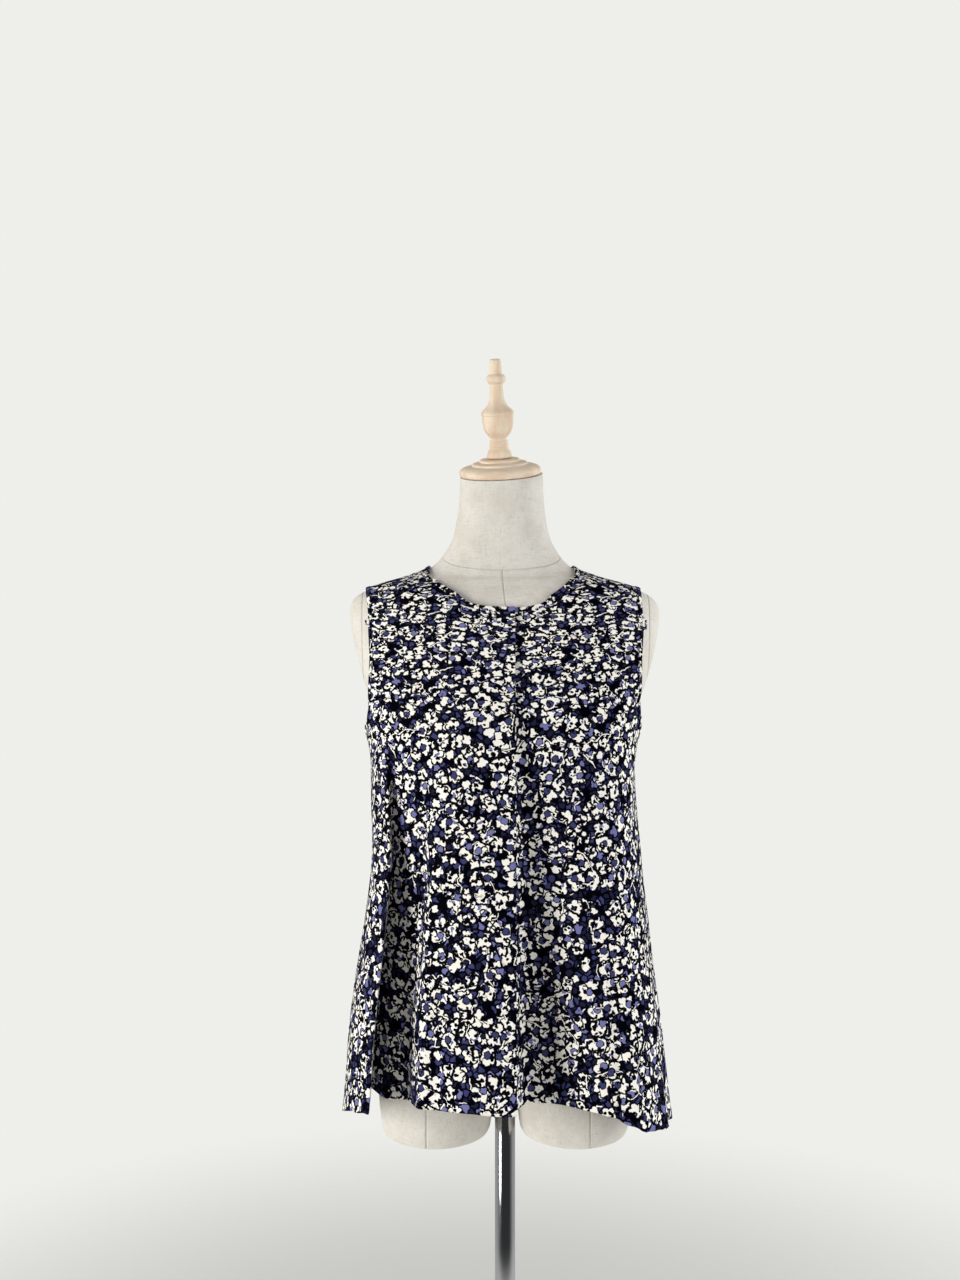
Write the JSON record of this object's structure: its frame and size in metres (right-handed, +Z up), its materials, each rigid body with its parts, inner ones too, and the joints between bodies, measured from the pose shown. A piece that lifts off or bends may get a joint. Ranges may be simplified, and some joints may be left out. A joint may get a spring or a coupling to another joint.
{
  "type": "sleeveless blouse on a limbless dress form",
  "caption": "Sleeveless printed crepe blouse with a round neck and a concealed lapped front, resting on a linen-covered limbless dress form with a turned wooden cap, chrome pole and round foot.",
  "frame": {"origin": "middle of the underside of the stand's round foot, on the floor", "axes": "+Z up along the pole, -Y towards the front of the blouse, -X towards the wearer's right"},
  "size_m": [0.3995, 0.3118, 1.6329],
  "materials": {
    "printed_crepe": "matt fluid viscose crepe with a small floral print in cream, slate blue and lavender on near-black navy",
    "form_linen": "matt off-white linen stretched smooth over the form",
    "beech": "pale unfinished turned beech",
    "chrome": "polished chrome plate",
    "foot_metal": "satin plated steel"
  },
  "bodies": {
    "root": {"right_front": "printed_crepe", "left_front": "printed_crepe", "back_panel": "printed_crepe", "neck_binding_right": "printed_crepe", "neck_binding_left": "printed_crepe", "neck_binding_back": "printed_crepe", "armhole_binding_right": "printed_crepe", "armhole_binding_left": "printed_crepe", "torso_form": "form_linen", "neck_disc": "beech", "finial": "beech", "pole": "chrome", "pole_collar": "chrome", "foot_plate": "foot_metal"}
  },
  "joints": []
}
